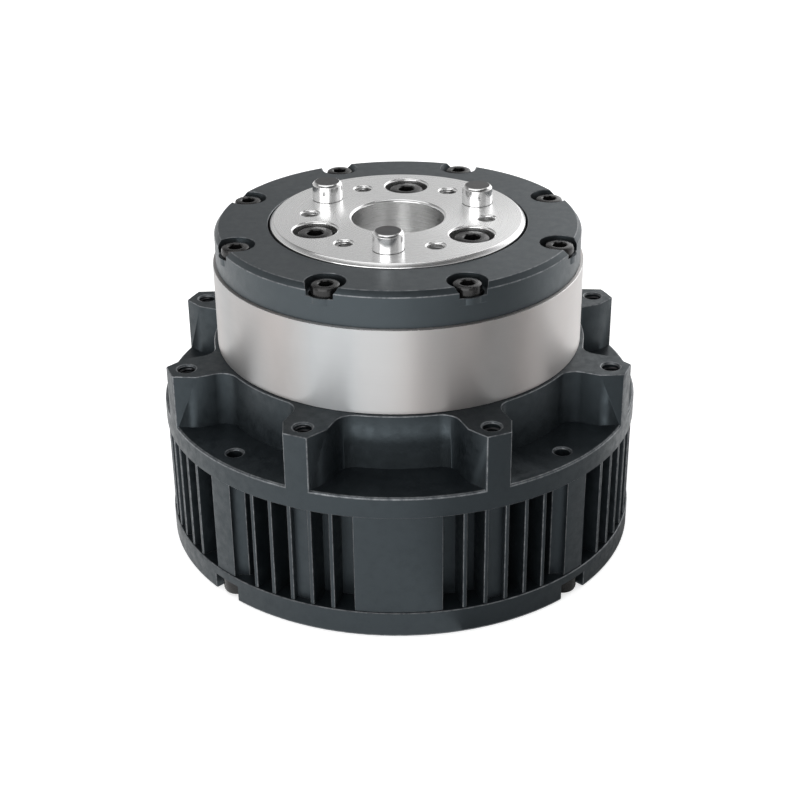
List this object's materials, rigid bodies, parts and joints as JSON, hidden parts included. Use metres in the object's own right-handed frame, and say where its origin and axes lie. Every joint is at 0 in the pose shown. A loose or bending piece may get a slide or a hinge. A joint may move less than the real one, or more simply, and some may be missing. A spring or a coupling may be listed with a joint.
{
  "type": "robot joint actuator",
  "caption": "Round geared robot joint motor: finned black housing with mounting bosses, plain metal gear ring, bolted front cover and a turning output flange with dowel pins.",
  "frame": {"origin": "centre of the flat rear face, on the output axis", "axes": "+Z along the output axis towards the output flange; +X to the right and -Y towards the viewer of the front"},
  "size_m": [0.096, 0.096, 0.0698],
  "materials": {
    "black_anodised": "matte bead-blasted black anodised",
    "black_oxide_steel": "black oxide, semi-gloss",
    "satin_steel": "satin turned steel",
    "machined_aluminium": "bright face-turned",
    "polished_steel": "ground and polished",
    "gear_steel": "oiled, ground",
    "nickel_plate": "nickel plated",
    "lamination_steel": "varnished lamination stack",
    "copper_wire": "enamelled copper wire",
    "bush_bronze": "sintered bronze",
    "board_laminate": "solder mask",
    "socket_plastic": "moulded nylon",
    "pale_socket_plastic": "moulded nylon"
  },
  "bodies": {
    "root_housing": {"main_housing": "black_anodised", "rear_cover": "black_anodised", "rear_cover_screws": "black_oxide_steel", "ring_gear": "satin_steel", "front_cover": "black_anodised", "front_cover_screws": "black_oxide_steel", "output_bearing_outer_race": "gear_steel", "stator_core": "lamination_steel", "stator_windings": "copper_wire", "front_rotor_bearing_outer": "gear_steel", "rear_rotor_bearing_outer": "gear_steel", "driver_board": "board_laminate", "board_screws": "black_oxide_steel", "power_connector": "socket_plastic", "signal_connector": "pale_socket_plastic"},
    "output": {"output_flange": "machined_aluminium", "carrier_plate": "gear_steel", "drive_pins": "polished_steel", "carrier_screws": "black_oxide_steel", "output_bearing_inner_race": "gear_steel", "output_bearing_rollers": "gear_steel"},
    "rotor": {"rotor_hub": "machined_aluminium", "rotor_magnets": "nickel_plate", "sun_gear": "gear_steel", "encoder_magnet": "nickel_plate", "front_rotor_bearing_inner": "gear_steel", "rear_rotor_bearing_inner": "gear_steel"},
    "planet_1": {"planet_gear_1": "gear_steel", "planet_bush_1": "bush_bronze"},
    "planet_2": {"planet_gear_2": "gear_steel", "planet_bush_2": "bush_bronze"},
    "planet_3": {"planet_gear_3": "gear_steel", "planet_bush_3": "bush_bronze"}
  },
  "joints": [
    {"name": "output_spin", "type": "hinge", "parent": "root_housing", "child": "output", "pos_m": [0, 0, 0.06], "axis": [0, 0, 1], "continuous": true},
    {"name": "rotor_spin", "type": "hinge", "parent": "root_housing", "child": "rotor", "pos_m": [0, 0, 0.03], "axis": [0, 0, 1], "continuous": true},
    {"name": "planet_1_spin", "type": "hinge", "parent": "output", "child": "planet_1", "pos_m": [-0.00161, -0.01736, 0.047], "axis": [0, 0, 1], "continuous": true},
    {"name": "planet_2_spin", "type": "hinge", "parent": "output", "child": "planet_2", "pos_m": [0.01584, 0.00728, 0.047], "axis": [0, 0, 1], "continuous": true},
    {"name": "planet_3_spin", "type": "hinge", "parent": "output", "child": "planet_3", "pos_m": [-0.01423, 0.01007, 0.047], "axis": [0, 0, 1], "continuous": true}
  ],
  "couplings": [
    {"joint": "rotor_spin", "follows": "output_spin", "ratio": 7},
    {"joint": "planet_1_spin", "follows": "output_spin", "ratio": -2.4},
    {"joint": "planet_2_spin", "follows": "output_spin", "ratio": -2.4},
    {"joint": "planet_3_spin", "follows": "output_spin", "ratio": -2.4}
  ]
}
